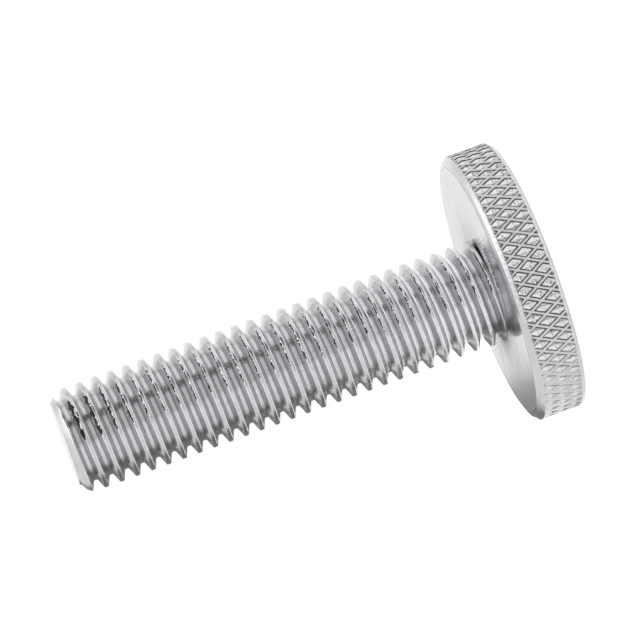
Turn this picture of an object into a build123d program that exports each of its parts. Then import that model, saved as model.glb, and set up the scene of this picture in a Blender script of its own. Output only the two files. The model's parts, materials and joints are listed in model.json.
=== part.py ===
"""Knurled head screw: a flat disc head on a fully threaded M10 x 1.5 shank.

The screw is turned from one bar, so it is one solid, revolved from half of its section.
It stands on its head: the origin is at the centre of the head's outer face, and +Z runs
along the shank to its tip. The helical thread and the diamond knurl are cuts in the
outer cylinders, which are modelled here plain, at the size over the thread's crests and
over the knurl's ridges.
"""
from build123d import *
import os

# Driving dimensions, in millimetres.
HEAD_DIAMETER = 25.6  # over the knurl's ridges
HEAD_THICKNESS = 4.55
FACE_BEVEL = 0.4  # 45 degree bevel round the outer face
SEAT_BEVEL_WIDTH = 0.9  # bevel round the face that seats on the work, across the radius
SEAT_BEVEL_HEIGHT = 0.55  # the same bevel, along the axis
THREAD_DIAMETER = 9.8  # over the thread's crests
SHANK_LENGTH = 41.0  # from the seat face to the tip
TIP_CHAMFER = 0.85  # 45 degree lead-in, down to the thread's root


def half_section():
    """Outline of the screw on one side of its axis, from the head's centre to the tip's."""
    head_radius = HEAD_DIAMETER / 2
    shank_radius = THREAD_DIAMETER / 2
    tip = HEAD_THICKNESS + SHANK_LENGTH
    return [
        (0, 0),
        (head_radius - FACE_BEVEL, 0),
        (head_radius, FACE_BEVEL),
        (head_radius, HEAD_THICKNESS - SEAT_BEVEL_HEIGHT),
        (head_radius - SEAT_BEVEL_WIDTH, HEAD_THICKNESS),
        (shank_radius, HEAD_THICKNESS),
        (shank_radius, tip - TIP_CHAMFER),
        (shank_radius - TIP_CHAMFER, tip),
        (0, tip),
    ]


def screw():
    """The whole screw: its half section turned about the Z axis."""
    with BuildPart() as part:
        with BuildSketch(Plane.XZ):
            with BuildLine():
                Polyline(*half_section(), close=True)
            make_face()
        revolve(axis=Axis.Z)
    return part.part


os.makedirs("parts", exist_ok=True)
export_step(screw(), "parts/knurled_head_screw.step")
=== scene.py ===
"""Looks for a knurled head screw, around its CAD model.

The screw is turned from one bar, so it is one closed mesh: a lathe surface that travels
from the centre of the outer face, up the knurled rim, in across the seat face, along the
thread and in to the centre of the tip. Lengths are in millimetres until a mesh is made.
"""
import json
import math

import bpy
import numpy as np
from mathutils import Matrix, Vector


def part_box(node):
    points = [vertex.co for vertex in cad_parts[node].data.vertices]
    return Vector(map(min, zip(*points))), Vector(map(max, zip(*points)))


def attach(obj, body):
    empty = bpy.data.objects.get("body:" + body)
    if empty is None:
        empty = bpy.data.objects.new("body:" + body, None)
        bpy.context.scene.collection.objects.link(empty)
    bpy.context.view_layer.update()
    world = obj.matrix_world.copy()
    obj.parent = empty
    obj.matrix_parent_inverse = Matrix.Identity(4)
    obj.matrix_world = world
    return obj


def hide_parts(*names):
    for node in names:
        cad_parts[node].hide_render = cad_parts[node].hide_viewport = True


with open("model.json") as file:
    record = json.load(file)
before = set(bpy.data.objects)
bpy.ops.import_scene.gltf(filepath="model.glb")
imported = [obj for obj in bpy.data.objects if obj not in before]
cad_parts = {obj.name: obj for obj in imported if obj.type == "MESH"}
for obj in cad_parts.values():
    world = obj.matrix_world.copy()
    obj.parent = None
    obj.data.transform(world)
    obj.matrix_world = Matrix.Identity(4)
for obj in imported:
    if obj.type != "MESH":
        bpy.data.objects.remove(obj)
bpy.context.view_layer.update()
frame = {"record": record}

bl_info = {
    "name": "Knurled Head Screw",
    "version": (1, 0, 0),
    "blender": (4, 5, 0),
    "location": "3D View > Sidebar > Screw",
    "description": "Cuts the thread and knurl of a turned screw, and lights it on a plain floor",
    "category": "Object",
}

MM = 0.001
TAU = 2 * math.pi
BODY = "root"
NODE = "knurled_head_screw"
FACED, THREADED, KNURLED = range(3)  # the screw's finishes, in the order of its materials
RIM_FINENESS = 14  # steps of the rim's grid between two crossings of its ridges
THREAD_COLUMNS = 120  # steps of the thread's grid round the axis
SHARP_ANGLE = 19  # degrees; keeps the flat faces flat beside the bevels


# Sizes that the CAD model fixes -------------------------------------------------------------

def mount(name):
    """The record's mount of that name."""
    return next(m for m in frame["record"]["mounts"] if m["name"] == name)


BOX_LOW, BOX_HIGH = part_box(NODE)
HEAD_RADIUS = (BOX_HIGH.x - BOX_LOW.x) / 2 / MM
TIP_HEIGHT = BOX_HIGH.z / MM
SEAT_HEIGHT = mount("head_seat")["pos_m"][2] / MM
CREST_RADIUS = mount("threaded_shank")["dims"]["r_mm"]
FACE_BEVEL = 0.4  # both ways
SEAT_BEVEL_WIDTH = 0.9
SEAT_BEVEL_HEIGHT = 0.55
PITCH = 1.5  # of a metric coarse thread of 10 mm
TIP_CHAMFER = TIP_HEIGHT - SEAT_HEIGHT - mount("threaded_shank")["dims"]["length_mm"]


# Colours and nodes --------------------------------------------------------------------------

def linear(hex_colour):
    """An sRGB colour such as "C8C8CA" as the linear RGBA that a node takes."""
    srgb = np.array([int(hex_colour[i:i + 2], 16) for i in (0, 2, 4)]) / 255
    rgb = np.where(srgb <= 0.04045, srgb / 12.92, ((srgb + 0.055) / 1.055) ** 2.4)
    return (*rgb.tolist(), 1.0)


def add_node(tree, kind, inputs=None, **settings):
    """Adds a node. Each input, by name or number, is a value, or a socket to link from."""
    node = tree.nodes.new(kind)
    for name, value in settings.items():
        setattr(node, name, value)
    for name, value in (inputs or {}).items():
        if isinstance(value, bpy.types.NodeSocket):
            tree.links.new(value, node.inputs[name])
        else:
            node.inputs[name].default_value = value
    return node


# Mesh ---------------------------------------------------------------------------------------

def lathe_faces(index):
    """Faces between the rows of a 2-D array of vertex numbers.

    Row by row the surface travels on, and along a row it goes round. A quad with two
    corners that are one vertex becomes a triangle, and a quad with no area is left out.
    """
    a, b = index[:-1, :-1].ravel(), index[:-1, 1:].ravel()
    c, d = index[1:, 1:].ravel(), index[1:, :-1].ravel()
    whole = (a != d) & (b != c)
    quads = np.stack([a, b, c, d], 1)[whole]
    left_shut = (a == d) & (b != c)
    right_shut = (a != d) & (b == c)
    triangles = np.concatenate([
        np.stack([a, b, c], 1)[left_shut],
        np.stack([a, b, d], 1)[right_shut],
    ])
    return quads, triangles


def zip_rings(first, second):
    """Triangles between two closed rings of different counts, each starting at angle 0.

    Every edge is joined to the vertex that the other ring has reached by then: its number
    is how many of the other ring's edge middles come before this edge's middle.
    """
    middle_1 = (np.arange(len(first)) + 0.5) / len(first)
    middle_2 = (np.arange(len(second)) + 0.5) / len(second)
    reached_2 = np.searchsorted(middle_2, middle_1) % len(second)
    reached_1 = np.searchsorted(middle_1, middle_2, side="right") % len(first)
    next_1, next_2 = np.roll(first, -1), np.roll(second, -1)
    return np.concatenate([
        np.stack([first, next_1, second[reached_2]], 1),
        np.stack([next_2, second, first[reached_1]], 1),
    ])


class Skin:
    """Collects vertices and faces of one mesh, each with the finish that it is given."""

    def __init__(self):
        self.points, self.cut, self.tear_and_painted_light = [], [], []
        self.faces, self.finish = [], []
        self.count = 0

    def add_points(self, radius, angle, height, cut=0.0, tear_and_painted_light=0.0):
        """Adds points given in cylinder coordinates, and returns their numbers in the same shape.

        cut is how deep the point lies in a groove or a pit, from 0 to 1. The last value marks
        painted light: above 0 it is painted shade, on the thread's crest where the die tore it and
        on the knurl's steep walls, and below 0 it is a highlight painted on the crest.
        """
        radius, angle, height, cut, tear_and_painted_light = np.broadcast_arrays(radius, angle, height, cut, tear_and_painted_light)
        xyz = np.stack([radius * np.cos(angle), radius * np.sin(angle), height], -1)
        self.points.append(xyz.reshape(-1, 3))
        self.cut.append(cut.ravel())
        self.tear_and_painted_light.append(tear_and_painted_light.ravel())
        numbers = self.count + np.arange(radius.size).reshape(radius.shape)
        self.count += radius.size
        return numbers

    def add_faces(self, corners, finish):
        """Adds faces from an array with one row of vertex numbers each."""
        self.faces.append(corners)
        self.finish.append(np.full(len(corners), finish))

    def piece(self, name, materials, sharp_angle):
        """Makes the object, without the points that no face uses."""
        points = np.concatenate(self.points) * MM
        used = np.zeros(len(points), bool)
        for corners in self.faces:
            used[corners.ravel()] = True
        renumber = np.cumsum(used) - 1
        faces = [renumber[corners] for corners in self.faces]
        sizes = np.concatenate([np.full(len(f), f.shape[1]) for f in faces])
        mesh = bpy.data.meshes.new(name)
        mesh.vertices.add(int(used.sum()))
        mesh.vertices.foreach_set("co", points[used].ravel())
        mesh.loops.add(int(sizes.sum()))
        mesh.loops.foreach_set("vertex_index", np.concatenate([f.ravel() for f in faces]))
        mesh.polygons.add(len(sizes))
        mesh.polygons.foreach_set("loop_start", np.concatenate([[0], np.cumsum(sizes)[:-1]]))
        mesh.polygons.foreach_set("material_index", np.concatenate(self.finish))
        for label, values in (("cut", self.cut), ("tear_and_painted_light", self.tear_and_painted_light)):
            layer = mesh.attributes.new(label, "FLOAT", "POINT")
            layer.data.foreach_set("value", np.concatenate(values)[used])
        mesh.update(calc_edges=True)
        mesh.validate()
        mesh.polygons.foreach_set("use_smooth", np.ones(len(mesh.polygons), bool))
        mesh.set_sharp_from_angle(angle=sharp_angle)
        for material in materials:
            mesh.materials.append(material)
        piece = bpy.data.objects.new(name, mesh)
        bpy.context.scene.collection.objects.link(piece)
        return piece


def turn_between(angle, degrees):
    """How far an angle is from one given in degrees, the shorter way round."""
    return np.abs((angle - math.radians(degrees) + math.pi) % TAU - math.pi)


def thread_radius(gap, sizes):
    """Radius of the thread at a distance from the middle of its crest, along the axis.

    A straight flank runs between the flat crest and the flat root, and both of its corners
    are worn: a worn corner is the mean of its two sides, less (at the crest) or more (at
    the root) half the root of their difference squared plus the wear squared.
    """
    slope = math.tan(math.radians(sizes.flank_angle))
    root = sizes.root_radius
    flank = CREST_RADIUS - (gap - sizes.crest_flat / 2) / slope
    below = (CREST_RADIUS + flank - np.hypot(CREST_RADIUS - flank, sizes.crest_wear)) / 2
    return (below + root + np.hypot(below - root, sizes.root_wear)) / 2


def profile_steps(sizes):
    """Distances along one pitch, from crest to crest, where the grid has its rows.

    They are close together at the corners of the crest and at the foot of the flank.
    """
    crest_half = sizes.crest_flat / 2
    slope = math.tan(math.radians(sizes.flank_angle))
    foot = crest_half + (CREST_RADIUS - sizes.root_radius) * slope
    half = np.array([0, crest_half * 0.75, crest_half, crest_half * 1.3, (crest_half + foot) / 2,
                     foot - 0.07, foot + 0.01, sizes.pitch / 2])
    return np.concatenate([half, sizes.pitch - half[-2:0:-1]])


def crest_tear_and_painted_light(offset, angle, height, sizes):
    """Where the die tore the thread, above 0, and where a highlight is painted on the crest, below
    0.

    offset is the distance from the middle of the crest towards the tip. Across the crest
    the tear is 1.2 less the distance from its middle over its reach, held between 0 and 1,
    and the painted highlight is 1 less the same kind of ratio on the crest's other half. Near the
    tip the tear lies further out and reaches further. The chips are a product of two sines that
    run round the axis and drift along it. All of it is on one side of the screw.
    """
    crest_half = sizes.crest_flat / 2
    from_tip = TIP_HEIGHT - height
    inside = math.radians(sizes.tear_and_painted_light_half) - turn_between(angle, sizes.tear_and_painted_light_turn)
    stretch = np.clip(inside / math.radians(sizes.tear_and_painted_light_ease), 0, 1)
    near_tip = np.clip(1 - from_tip / sizes.torn_widening, 0, 1)
    chips = np.sin(61 * angle + 7.3 * height) * np.sin(37 * angle - 3.1 * height)
    middle = crest_half * (0.85 + 0.3 * near_tip)
    reach = crest_half * (0.55 + 0.75 * near_tip) * (1 + 0.6 * near_tip * chips)
    tear = np.clip(1.2 - np.abs(offset - middle) / reach, 0, 1)
    tear = tear * (1 + 0.35 * chips + 0.4 * near_tip) * (from_tip > sizes.tear_start)
    # A highlight painted along the crest's other half.
    crest_highlight = np.clip(1 - np.abs(offset + crest_half * 0.4) / (crest_half * 0.5), 0, 1)
    crest_highlight = crest_highlight * (from_tip > sizes.crest_highlight_start)
    return stretch * (tear - crest_highlight * (tear == 0))


def add_thread(skin, sizes, columns, finish):
    """The right-hand thread, between the seat and the tip.

    A row's height is where it starts plus the pitch times the share of a turn, so a row
    climbs with the helix, and crests, flanks and roots are rows. Where a row would pass the
    seat or the tip it stops there. The radius is the smaller of the thread's, less the
    tear, and that of the tip's 45 degree cone, with a worn edge between the two.
    """
    steps = profile_steps(sizes)
    per_turn = len(steps)
    turns = int((TIP_HEIGHT - SEAT_HEIGHT) / sizes.pitch) + 4
    first_crest = TIP_HEIGHT - sizes.first_crest - sizes.pitch * (turns - 1)
    rows = (first_crest + sizes.pitch * np.arange(turns)[:, None] + steps).ravel()
    angle = TAU * np.arange(columns + 1) / columns
    height = rows[:, None] + sizes.pitch * angle / TAU
    low = np.argmax(height > SEAT_HEIGHT + 1e-6, 0) - 1
    high = np.argmax(height >= TIP_HEIGHT - 1e-6, 0)
    held = np.clip(height, SEAT_HEIGHT, TIP_HEIGHT)
    phase = (held - first_crest - sizes.pitch * angle / TAU) / sizes.pitch
    offset = (phase - np.round(phase)) * sizes.pitch
    gap = np.abs(offset)
    cone = CREST_RADIUS - TIP_CHAMFER + (TIP_HEIGHT - held)
    # Above 0 the tear, cut into the shape and painted as shade; below 0 a painted highlight.
    tear_and_painted_light = crest_tear_and_painted_light(offset, angle, held, sizes)
    thread = thread_radius(gap, sizes) - sizes.tear_depth * np.maximum(tear_and_painted_light, 0)
    radius = (thread + cone - np.hypot(thread - cone, sizes.tip_wear)) / 2
    cut = (CREST_RADIUS - radius) / (CREST_RADIUS - sizes.root_radius)
    numbers = skin.add_points(radius[:, :-1], angle[:-1], held[:, :-1], cut[:, :-1], tear_and_painted_light[:, :-1])
    row_number = np.clip(np.arange(len(rows))[:, None], low, high)
    column_number = np.arange(columns + 1)
    seam_row = np.clip(row_number[:, -1] + per_turn, low[0], high[0])
    index = numbers[row_number[:, :-1], column_number[:-1]]
    index = np.column_stack([index, numbers[seam_row, 0]])
    quads, triangles = lathe_faces(index)
    skin.add_faces(quads, finish)
    skin.add_faces(triangles, finish)
    bottom = numbers[low[:-1], column_number[:-1]]
    top = numbers[high[:-1], column_number[:-1]]
    return bottom, top


def knurl_cut(angle, height, sizes):
    """Depth of the diamond pits below the rim, and the painted shade on their steep walls, 0 to 1.

    Two families of ridges cross at equal and opposite angles to the axis. From the edge of
    the nearest ridge's narrow flat top the depth falls down a steep wall, and then gently
    to the middle of the pit. Where the knurl was pressed lightly its lift is taken from
    that depth, so the pits there are smaller and shallower, most of all by the seat, and
    their walls get less painted shade.
    """
    width = TAU * HEAD_RADIUS / sizes.knurl_count
    rise = 2 * sizes.knurl_rise
    spacing = 1 / math.hypot(1 / width, 1 / rise)
    across = (angle - math.radians(sizes.knurl_turn)) * HEAD_RADIUS / width
    along = (height - sizes.knurl_start) / rise
    gaps = [np.abs(f - np.round(f)) * spacing for f in (across + along, across - along)]
    into = np.maximum(np.minimum(*gaps) - sizes.ridge_flat / 2, 0)
    on_wall = np.minimum(into / sizes.wall_width, 1)
    depth = sizes.pit_wall * on_wall + sizes.pit_slope * np.maximum(into - sizes.wall_width, 0)
    inside = math.radians(sizes.light_half) - turn_between(angle, sizes.light_turn)
    ease = np.clip(inside / math.radians(sizes.light_ease), 0, 1)
    lift = sizes.light_lift * ease * (0.5 + height / SEAT_HEIGHT)
    # Painted shade on the steep wall, weaker where the knurl was pressed lightly.
    steep = np.clip(1 - np.abs(into / sizes.wall_width - 0.95), 0, 1)
    return np.maximum(depth - lift, 0), steep * (1 - 0.85 * ease) * (depth > lift)


def add_rim(skin, sizes, fineness, finish):
    """The knurled rim, as rhombi that lie along the ridges, between its two bevels.

    Level m holds the points with an even or an odd number k by turns, so the rhombus
    from point k of a level reaches points k - 1 and k + 1 of the next and k of the one
    after that, and its sides run along the ridges.
    """
    step = sizes.knurl_rise / fineness
    below = int((sizes.knurl_start - FACE_BEVEL) / step)
    above = int((SEAT_HEIGHT - SEAT_BEVEL_HEIGHT - sizes.knurl_start) / step)
    levels = sizes.knurl_start + step * np.arange(-below, above + 1)
    levels[[0, -1]] = FACE_BEVEL, SEAT_HEIGHT - SEAT_BEVEL_HEIGHT
    count = sizes.knurl_count * fineness
    odd = (np.arange(len(levels)) + below) % 2
    place = 2 * np.arange(count) + odd[:, None]
    angle = TAU * place / (2 * count) + math.radians(sizes.knurl_turn)
    height = np.broadcast_to(levels[:, None], angle.shape)
    depth, steep = knurl_cut(angle, height, sizes)
    # The walls' painted shade is carried in the same value as the thread's painted light.
    numbers = skin.add_points(HEAD_RADIUS - depth, angle, height, depth / sizes.pit_wall, steep)

    def point(level, k):
        """The number of point k, from 0 to 2 * count, of a level."""
        return numbers[level, (k - odd[level]) // 2 % count]

    level = np.arange(len(levels) - 2)[:, None]
    k = place[:-2]
    rhombi = np.stack([
        point(level, k), point(level + 1, k + 1), point(level + 2, k), point(level + 1, k - 1)], -1)
    skin.add_faces(rhombi.reshape(-1, 4), finish)
    k = place[0]
    bottom = np.stack([point(0, k), point(0, k + 2), point(1, k + 1)], -1)
    k = place[-1]
    last = len(levels) - 1
    top = np.stack([point(last, k + 2), point(last, k), point(last - 1, k + 1)], -1)
    skin.add_faces(np.concatenate([bottom, top]), finish)
    return numbers[0], numbers[-1], angle[0], angle[-1]


def add_bevel(skin, edge, angle, rings, finish, outward):
    """A bevel from the rim's edge through rings of one radius and height each."""
    rows = np.stack([edge] + [skin.add_points(np.full(len(angle), r), angle, h) for r, h in rings])
    index = np.column_stack([rows, rows[:, 0]])
    quads, _ = lathe_faces(index if outward else index[::-1])
    skin.add_faces(quads, finish)
    return rows[-1]


def turned_screw(sizes, materials):
    """The whole screw as one closed mesh.

    The seat's bevel bows a little, and a narrow flat ring inside it keeps the shading of
    the bevel off the seat face.
    """
    skin = Skin()
    lower, upper, lower_angle, upper_angle = add_rim(skin, sizes, RIM_FINENESS, KNURLED)
    seat_slope = SEAT_BEVEL_WIDTH / SEAT_BEVEL_HEIGHT
    run = sizes.pit_run_out
    outer = add_bevel(skin, lower, lower_angle, [
        (HEAD_RADIUS - run, FACE_BEVEL - run), (HEAD_RADIUS - FACE_BEVEL, 0)], FACED, False)
    inner = add_bevel(skin, upper, upper_angle, [
        (HEAD_RADIUS - run * seat_slope, SEAT_HEIGHT - SEAT_BEVEL_HEIGHT + run),
        (HEAD_RADIUS - 0.42 * SEAT_BEVEL_WIDTH, SEAT_HEIGHT - 0.34 * SEAT_BEVEL_HEIGHT),
        (HEAD_RADIUS - SEAT_BEVEL_WIDTH, SEAT_HEIGHT),
        (HEAD_RADIUS - SEAT_BEVEL_WIDTH - 0.1, SEAT_HEIGHT)], FACED, True)
    bottom, top = add_thread(skin, sizes, THREAD_COLUMNS, THREADED)
    centre = np.broadcast_to(skin.add_points(np.zeros(1), 0.0, 0.0), outer.shape)
    skin.add_faces(np.stack([centre, np.roll(outer, -1), outer], 1), FACED)
    skin.add_faces(zip_rings(inner, bottom), FACED)
    tip = np.broadcast_to(skin.add_points(np.zeros(1), 0.0, TIP_HEIGHT), top.shape)
    skin.add_faces(np.stack([top, np.roll(top, -1), tip], 1), FACED)
    return skin.piece("turned_screw", materials, math.radians(SHARP_ANGLE))


# Materials ----------------------------------------------------------------------------------

def steel(name, looks):
    """Bare metal: its material, node tree and shader, and its object coordinates in mm."""
    material = bpy.data.materials.new(name)
    material.use_nodes = True
    tree = material.node_tree
    tree.nodes.clear()
    shader = add_node(tree, "ShaderNodeBsdfPrincipled", {
        "Base Color": linear(looks.steel_colour), "Metallic": 1.0,
        "Roughness": looks.steel_roughness})
    add_node(tree, "ShaderNodeOutputMaterial", {"Surface": shader.outputs["BSDF"]})
    coordinates = add_node(tree, "ShaderNodeTexCoord").outputs["Object"]
    place = add_node(tree, "ShaderNodeVectorMath", {
        0: coordinates, "Scale": 1 / MM}, operation="SCALE")
    return material, tree, shader, place.outputs["Vector"]


def scatter(tree, place, grain, detail=2.0):
    """Noise from 0 to 1 whose grains are the given number of millimetres."""
    return add_node(tree, "ShaderNodeTexNoise", {
        "Vector": place, "Scale": 1 / grain, "Detail": detail}).outputs["Fac"]


def span(tree, value, low, high, to_low=0.0, to_high=1.0):
    """A value taken from one range to another, and held at its ends."""
    return add_node(tree, "ShaderNodeMapRange", {
        "Value": value, "From Min": low, "From Max": high,
        "To Min": to_low, "To Max": to_high}).outputs["Result"]


def combine(tree, operation, first, second):
    """One math node's result."""
    return add_node(tree, "ShaderNodeMath", {0: first, 1: second}, operation=operation).outputs[0]


def reading(tree, name):
    """A value that the mesh carries."""
    return add_node(tree, "ShaderNodeAttribute", attribute_name=name).outputs["Fac"]


def mix_colours(tree, first, second, amount):
    """The first colour, taken towards the second by an amount from 0 to 1."""
    mixed = add_node(tree, "ShaderNodeMix", {6: first, 7: second}, data_type="RGBA")
    tree.links.new(amount, mixed.inputs["Factor"])
    return mixed.outputs[2]


def tint(tree, shader, base, dark, amount):
    """Gives the shader a base colour, taken towards a dark one by an amount from 0 to 1."""
    tree.links.new(mix_colours(tree, base, dark, amount), shader.inputs["Base Color"])


def bump(tree, shader, height, strength, depth):
    """Relief on the shader, with the height's 0 to 1 taken as that many millimetres."""
    relief = add_node(tree, "ShaderNodeBump", {
        "Height": height, "Strength": strength, "Distance": depth * MM})
    tree.links.new(relief.outputs["Normal"], shader.inputs["Normal"])


def from_axis(tree, place):
    """The distance from the axis, in mm."""
    flat = add_node(tree, "ShaderNodeVectorMath", {
        0: place, 1: (1, 1, 0)}, operation="MULTIPLY").outputs["Vector"]
    return add_node(tree, "ShaderNodeVectorMath", {
        0: flat}, operation="LENGTH").outputs["Value"]


def faced_steel(looks):
    """Faced on a lathe and polished: nearly a mirror, with faint rings and a burr at its edge."""
    material, tree, shader, place = steel("Stainless Steel, Faced", looks)
    radius = from_axis(tree, place)
    ring = add_node(tree, "ShaderNodeCombineXYZ", {"X": radius}).outputs["Vector"]
    bump(tree, shader, scatter(tree, ring, 0.12, 3.0), 0.012, 0.004)
    edge = HEAD_RADIUS - SEAT_BEVEL_WIDTH
    from_edge = combine(tree, "ABSOLUTE", combine(tree, "SUBTRACT", radius, edge), 0.0)
    chips = scatter(tree, place, 0.9)
    burr = combine(tree, "MULTIPLY", span(tree, from_edge, 0.02, 0.07, 1.0, 0.0),
                   span(tree, chips, 0.4, 0.5, 0.1, 0.6))
    cloud = scatter(tree, place, 1.6, 4.0)
    tint(tree, shader, linear(looks.steel_colour), linear(looks.dark_steel_and_shade_colour),
         combine(tree, "MAXIMUM", burr, span(tree, cloud, 0.45, 0.8, 0.0, 0.1)))
    rough = looks.face_roughness
    tree.links.new(span(tree, cloud, 0.3, 0.7, rough, rough + 0.04), shader.inputs["Roughness"])
    return material


def around(tree, place, stretch):
    """Coordinates that run round the axis, so that grains are drawn out along a turned cut."""
    parts = add_node(tree, "ShaderNodeSeparateXYZ", {0: place}).outputs
    angle = combine(tree, "ARCTAN2", parts["Y"], parts["X"])
    distance = combine(tree, "MULTIPLY", angle, CREST_RADIUS / stretch)
    climb = combine(tree, "MULTIPLY", angle, PITCH / TAU)
    level = combine(tree, "SUBTRACT", parts["Z"], climb)
    return add_node(tree, "ShaderNodeCombineXYZ", {
        "X": distance, "Y": level, "Z": from_axis(tree, place)}).outputs["Vector"]


def threaded_steel(looks):
    """Cut by a die: streaks along the groove, and on one side a torn crest with painted shade in
    black and a painted highlight.
    """
    material, tree, shader, place = steel("Stainless Steel, Die Cut Thread", looks)
    along = around(tree, place, 9.0)
    streaks = scatter(tree, along, 0.1, 3.0)
    chips = scatter(tree, around(tree, place, 1.8), 0.12, 3.0)
    tear_and_painted_light = combine(tree, "ADD", reading(tree, "tear_and_painted_light"), span(tree, chips, 0.3, 0.7, -0.6, 0.6))
    # The tear's black is painted shade.
    tear_shade = span(tree, tear_and_painted_light, 0.6, 0.72)
    mottle = scatter(tree, place, 0.5, 4.0)
    stain = span(tree, combine(tree, "ADD", mottle, streaks), 1.0, 1.4, 0.0, 0.22)
    # A highlight painted along the crest.
    bright = mix_colours(tree, linear(looks.steel_colour), linear(looks.crest_highlight_colour),
                         span(tree, reading(tree, "tear_and_painted_light"), -0.1, -0.6))
    tint(tree, shader, bright, linear(looks.dark_steel_and_shade_colour),
         combine(tree, "MAXIMUM", tear_shade, stain))
    relief = combine(tree, "SUBTRACT", combine(tree, "MULTIPLY", streaks, 0.5),
                     span(tree, tear_and_painted_light, 0.2, 0.9))
    bump(tree, shader, relief, 0.5, 0.02)
    rough = looks.steel_roughness
    tree.links.new(span(tree, streaks, 0.3, 0.7, rough - 0.08, rough + 0.04),
                   shader.inputs["Roughness"])
    return material


def knurled_steel(looks):
    """Pressed by a knurling wheel: bright pits, ridges painted darker as shade, and painted shade
    on the steep walls between.
    """
    material, tree, shader, place = steel("Stainless Steel, Knurled", looks)
    grain = scatter(tree, place, 0.16, 3.0)
    # Painted shade on the steep walls, broken up by grain.
    wall = combine(tree, "MULTIPLY", reading(tree, "tear_and_painted_light"),
                   span(tree, grain, 0.35, 0.6, 0.6, 1.0))
    dots = span(tree, scatter(tree, place, 0.22, 1.0), 0.66, 0.7)
    speck = combine(tree, "MULTIPLY", dots, span(tree, reading(tree, "cut"), 1.1, 1.5))
    # The ridges are painted darker than the pits: painted shade.
    pit = mix_colours(tree, linear(looks.ridge_shade_colour), linear(looks.pit_colour),
                      span(tree, reading(tree, "cut"), 0.85, 1.3))
    tint(tree, shader, pit, linear(looks.dark_steel_and_shade_colour),
         combine(tree, "MAXIMUM", span(tree, wall, 0.0, 0.65), speck))
    bump(tree, shader, grain, 0.7, 0.04)
    rough = looks.steel_roughness
    tree.links.new(span(tree, grain, 0.3, 0.7, rough - 0.05, rough + 0.1),
                   shader.inputs["Roughness"])
    return material


def finishes(looks):
    """The screw's three finishes, in the order FACED, THREADED, KNURLED."""
    return [faced_steel(looks), threaded_steel(looks), knurled_steel(looks)]


# Settings -----------------------------------------------------------------------------------

def length(name, description, default):
    """A length in millimetres, as a property."""
    return bpy.props.FloatProperty(
        name=name, description=description, default=default, min=0.0)


def degrees(name, description, default):
    """An angle in degrees, as a property."""
    return bpy.props.FloatProperty(
        name=name, description=f"{description}, degrees", default=default)


class ScrewSizes(bpy.types.PropertyGroup):
    """Sizes of the thread and the knurl, in millimetres."""
    pitch: length("Pitch", "Distance from crest to crest, mm", PITCH)
    crest_flat: length("Crest Flat", "Width of the thread's crest, mm", 0.38)
    crest_wear: length("Crest Wear", "How far the corners of the crest are worn round, mm", 0.06)
    tip_wear: length("Tip Wear", "How far the edge round the tip is worn, mm", 0.3)
    root_radius: length("Root Radius", "Radius of the shank at the bottom of the groove, mm", 3.95)
    root_wear: length("Root Rounding", "How far the corners of the root are rounded, mm", 0.06)
    flank_angle: degrees("Flank Angle", "Between a flank and a plane across the axis", 22.5)
    first_crest: length("First Crest", "From the tip to the crest nearest it, at angle 0, mm", 0.0)
    tear_depth: length("Tear Depth", "How deep the die tore the crest, mm", 0.025)
    # The stretch round the axis where the crest is torn, with painted shade on the tear and a
    # painted highlight beside it.
    tear_and_painted_light_turn: degrees("Torn Turn", "Angle of the middle of the torn stretch", -66.0)
    tear_and_painted_light_half: degrees("Torn Half", "Half of that stretch", 31.0)
    tear_and_painted_light_ease: degrees("Torn Ease", "Angle over which the tear begins and ends", 6.0)
    torn_widening: length("Torn Widening", "How far from the tip the tear is wider, mm", 7.0)
    tear_start: length("Tear Start", "From the tip to where the tear begins, mm", 0.5)
    # Where the highlight painted on the crest begins.
    crest_highlight_start: length("Burnish Start", "From the tip to the first rubbed crest, mm", 1.2)
    knurl_count: bpy.props.IntProperty(
        name="Knurl Count", description="Diamonds round the rim", default=61, min=12)
    knurl_rise: length(
        "Knurl Rise", "From one crossing of the ridges to the next, along the axis, mm", 1.19)
    knurl_start: length(
        "Knurl Start", "Height of one ring of crossings above the outer face, mm", 0.96)
    knurl_turn: degrees("Knurl Turn", "Angle of one crossing in that ring", -92.0)
    ridge_flat: length("Ridge Flat", "Width of the flat top of a ridge, mm", 0.16)
    pit_wall: length("Pit Wall", "Depth of the steep wall beside a ridge, mm", 0.1)
    wall_width: length("Wall Width", "Width of that wall, mm", 0.085)
    pit_slope: bpy.props.FloatProperty(
        name="Pit Slope", description="Depth gained for each millimetre beyond the wall",
        default=0.62)
    pit_run_out: length("Pit Run Out", "How far the pits cut into the bevels, mm", 0.06)
    light_turn: degrees("Light Turn", "Angle of the middle of the lightly pressed stretch", -175.0)
    light_half: degrees("Light Half", "Half of that stretch", 58.0)
    light_ease: degrees("Light Ease", "Angle over which it eases in", 20.0)
    light_lift: length("Light Lift", "How much shallower the knurl is there, mm", 0.105)


def colour(name, description, default):
    """An sRGB hex colour, as a property."""
    return bpy.props.StringProperty(name=name, description=description, default=default)


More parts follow.
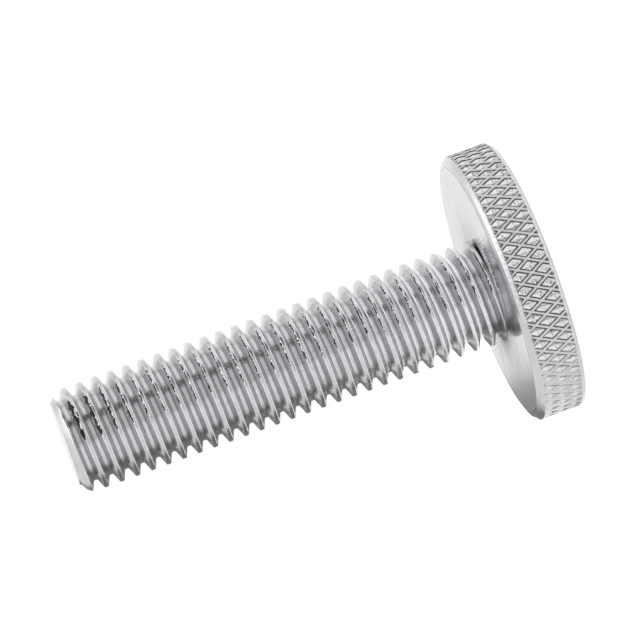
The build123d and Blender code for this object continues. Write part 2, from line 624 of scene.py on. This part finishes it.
class ScrewLooks(bpy.types.PropertyGroup):
    """Colours and the view."""
    steel_colour: colour("Steel", "Colour of the bare steel, sRGB hex", "D2D2D4")
    # Also the painted shade on the thread's tear and on the knurl's walls.
    dark_steel_and_shade_colour: colour("Scraped Steel", "Colour of torn and scraped steel, sRGB hex", "2A2A2C")
    # A highlight painted on the thread's crest.
    crest_highlight_colour: colour(
        "Burnished Steel", "Colour of the crest where the die rubbed it bright, sRGB hex", "ECECEE")
    # The ridges are painted darker than the pits: painted shade.
    ridge_shade_colour: colour("Ridge", "Colour of the knurl's ridges, sRGB hex", "BABABC")
    pit_colour: colour("Pit", "Colour of the bright steel in the knurl's pits, sRGB hex", "D0D0D2")
    steel_roughness: bpy.props.FloatProperty(
        name="Roughness", description="Roughness of the cut steel",
        default=0.2, min=0.0, max=1.0)
    face_roughness: bpy.props.FloatProperty(
        name="Face Roughness", description="Roughness of the polished faces",
        default=0.11, min=0.0, max=1.0)
    lens: length("Lens", "Focal length, mm on a 36 mm sensor", 219.4)
    distance: length("Distance", "From the camera to the point that it looks at, mm", 355.0)
    aim_side: bpy.props.FloatProperty(
        name="Aim Side", description="How far that point is to the side of the axis, mm",
        default=2.696)
    aim_height: length("Aim Height", "How far that point is above the floor, mm", 19.93)
    elevation: degrees("Elevation", "Height of the camera above the horizon", 6.0)
    roll: degrees("Roll", "Turn of the camera about its view", -110.044)


# Stage --------------------------------------------------------------------------------------

def camera_axes(looks):
    """Right, up and forward of the camera, as unit vectors."""
    lift, roll = math.radians(looks.elevation), math.radians(looks.roll)
    forward = Vector((0, math.cos(lift), -math.sin(lift)))
    level_right = Vector((1, 0, 0))
    level_up = level_right.cross(forward)
    right = math.cos(roll) * level_right + math.sin(roll) * level_up
    return right, right.cross(forward), forward


def add_camera(looks):
    """The camera, rolled so that the standing screw lies across the picture."""
    right, up, forward = camera_axes(looks)
    data = bpy.data.cameras.new("camera")
    data.lens = looks.lens
    data.sensor_width = 36.0
    data.clip_start = 0.01
    data.clip_end = 20.0
    camera = bpy.data.objects.new("camera", data)
    aim = Vector((looks.aim_side, 0, looks.aim_height)) * MM
    turn = Matrix((right, up, -forward)).transposed().to_4x4()
    camera.matrix_world = Matrix.Translation(aim - forward * looks.distance * MM) @ turn
    bpy.context.scene.collection.objects.link(camera)
    bpy.context.scene.camera = camera


# Brightness of the light tent round the screw's axis, by the angle in degrees from the
# camera: up and over the top is positive. The white card behind is at 180, and ends
# TENT_TURN degrees below the middle of the back.
TENT = (
    (-180, 0.25), (-108, 0.18), (-88, 0.9), (-20, 1.0), (-15, 0.62), (34, 0.68), (42, 0.08),
    (56, 0.08), (63, 0.98), (108, 0.95), (116, 0.6), (128, 1.0), (164, 1.02), (180, 1.02),
)
TENT_TURN = 1.84
CARD_HALF = 70  # mm; a wider floor would hide the tent from the thread
CARD_GLOW = 0.4  # with the light that falls on it, the card shows white


def light_world(looks):
    """A light tent round the screw's axis, closed by a lid: white to the camera itself.

    The tent's brightness goes by the angle round the axis. Where the direction is steep,
    its height from 0.25 to 0.45, the lid takes over, brightest in front and above.
    """
    world = bpy.data.worlds.new("studio")
    bpy.context.scene.world = world
    world.use_nodes = True
    tree = world.node_tree
    tree.nodes.clear()
    forward = camera_axes(looks)[2]
    facing = Vector((-forward.x, -forward.y, 0)).normalized()
    level_up = Vector((0, 0, 1)).cross(facing).normalized()
    turn = math.radians(TENT_TURN)
    facing, level_up = (facing * math.cos(turn) + level_up * math.sin(turn),
                        level_up * math.cos(turn) - facing * math.sin(turn))
    direction = add_node(tree, "ShaderNodeTexCoord").outputs["Generated"]
    upward, toward = (add_node(tree, "ShaderNodeVectorMath", {
        0: direction, 1: axis}, operation="DOT_PRODUCT").outputs["Value"]
        for axis in (level_up, facing))
    angle = add_node(tree, "ShaderNodeMath", {0: upward, 1: toward}, operation="ARCTAN2")
    place = add_node(tree, "ShaderNodeMapRange", {
        "Value": angle.outputs[0], "From Min": -math.pi, "From Max": math.pi})
    ramp = add_node(tree, "ShaderNodeValToRGB", {"Fac": place.outputs["Result"]})
    stops = ramp.color_ramp.elements
    while len(stops) < len(TENT):
        stops.new(0.5)
    top = max(level for _, level in TENT)
    for stop, (turned, level) in zip(stops, TENT):
        stop.position = (turned + 180) / 360
        stop.color = (level / top,) * 3 + (1.0,)
    tent = add_node(tree, "ShaderNodeMath", {
        0: ramp.outputs["Color"], 1: top}, operation="MULTIPLY")
    height = add_node(tree, "ShaderNodeSeparateXYZ", {0: direction}).outputs["Z"]
    steep = span(tree, combine(tree, "ABSOLUTE", height, 0.0), 0.25, 0.45)
    front = combine(tree, "ADD", toward, combine(tree, "MAXIMUM", upward, 0.0))
    above = combine(tree, "MULTIPLY", span(tree, front, 0.4, 0.8),
                    span(tree, upward, 0.05, 0.5, 0.0, 0.3))
    bright = combine(tree, "ADD", span(tree, front, 0.1, 0.5, 0.95, 1.6), above)
    lid = combine(tree, "MULTIPLY", bright, span(tree, height, -0.1, 0.1, 0.6, 1.0))
    capped = add_node(tree, "ShaderNodeMix", {
        "Factor": steep, "A": tent.outputs[0], "B": lid})
    ray = add_node(tree, "ShaderNodeLightPath")
    level = add_node(tree, "ShaderNodeMix", {
        "Factor": ray.outputs["Is Camera Ray"], "A": capped.outputs["Result"], "B": 1.0})
    background = add_node(tree, "ShaderNodeBackground", {
        "Color": (1, 1, 1, 1), "Strength": level.outputs["Result"]})
    add_node(tree, "ShaderNodeOutputWorld", {"Surface": background.outputs["Background"]})


def add_floor():
    """A pale card that the screw stands on."""
    half = CARD_HALF * MM
    corners = [(-half, -half, 0), (half, -half, 0), (half, half, 0), (-half, half, 0)]
    mesh = bpy.data.meshes.new("floor")
    mesh.from_pydata(corners, [], [(0, 1, 2, 3)])
    floor = bpy.data.objects.new("floor", mesh)
    bpy.context.scene.collection.objects.link(floor)
    material = bpy.data.materials.new("White Card")
    material.use_nodes = True
    tree = material.node_tree
    tree.nodes.clear()
    card = add_node(tree, "ShaderNodeBsdfDiffuse", {"Color": linear("E8E8E8")})
    ray = add_node(tree, "ShaderNodeLightPath")
    seen = add_node(tree, "ShaderNodeMath", {
        0: ray.outputs["Is Camera Ray"], 1: ray.outputs["Is Glossy Ray"]}, operation="MAXIMUM")
    level = add_node(tree, "ShaderNodeMath", {
        0: seen.outputs[0], 1: CARD_GLOW}, operation="MULTIPLY")
    glow = add_node(tree, "ShaderNodeEmission", {
        "Color": (1, 1, 1, 1), "Strength": level.outputs[0]})
    both = add_node(tree, "ShaderNodeAddShader", {
        0: card.outputs["BSDF"], 1: glow.outputs["Emission"]})
    add_node(tree, "ShaderNodeOutputMaterial", {"Surface": both.outputs["Shader"]})
    mesh.materials.append(material)


# Operators ----------------------------------------------------------------------------------

class SCREW_OT_add_screw(bpy.types.Operator):
    """Adds the turned screw, with its thread and knurl cut"""
    bl_idname = "screw.add_screw"
    bl_label = "Add Screw"

    def execute(self, context):
        sizes, looks = context.scene.screw_sizes, context.scene.screw_looks
        piece = turned_screw(sizes, finishes(looks))
        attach(piece, BODY)
        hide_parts(NODE)
        return {"FINISHED"}


class SCREW_OT_add_stage(bpy.types.Operator):
    """Adds the floor, the light tent and the camera"""
    bl_idname = "screw.add_stage"
    bl_label = "Add Stage"

    def execute(self, context):
        looks = context.scene.screw_looks
        context.scene.view_settings.view_transform = "Standard"
        light_world(looks)
        add_floor()
        add_camera(looks)
        return {"FINISHED"}


class SCREW_PT_panel(bpy.types.Panel):
    """Lists the screw's sizes, its looks and what builds it"""
    bl_idname = "SCREW_PT_panel"
    bl_label = "Knurled Head Screw"
    bl_space_type = "VIEW_3D"
    bl_region_type = "UI"
    bl_category = "Screw"

    def draw(self, context):
        column = self.layout.column()
        for group in (context.scene.screw_sizes, context.scene.screw_looks):
            for name in group.__annotations__:
                column.prop(group, name)
        for operator in OPERATORS:
            column.operator(operator.bl_idname)


OPERATORS = (SCREW_OT_add_screw, SCREW_OT_add_stage)
CLASSES = (ScrewSizes, ScrewLooks, *OPERATORS, SCREW_PT_panel)


def register():
    for cls in CLASSES:
        bpy.utils.register_class(cls)
    bpy.types.Scene.screw_sizes = bpy.props.PointerProperty(type=ScrewSizes)
    bpy.types.Scene.screw_looks = bpy.props.PointerProperty(type=ScrewLooks)


def unregister():
    del bpy.types.Scene.screw_looks
    del bpy.types.Scene.screw_sizes
    for cls in reversed(CLASSES):
        bpy.utils.unregister_class(cls)


def main():
    register()
    bpy.ops.screw.add_screw()
    bpy.ops.screw.add_stage()


if __name__ == "__main__":
    main()
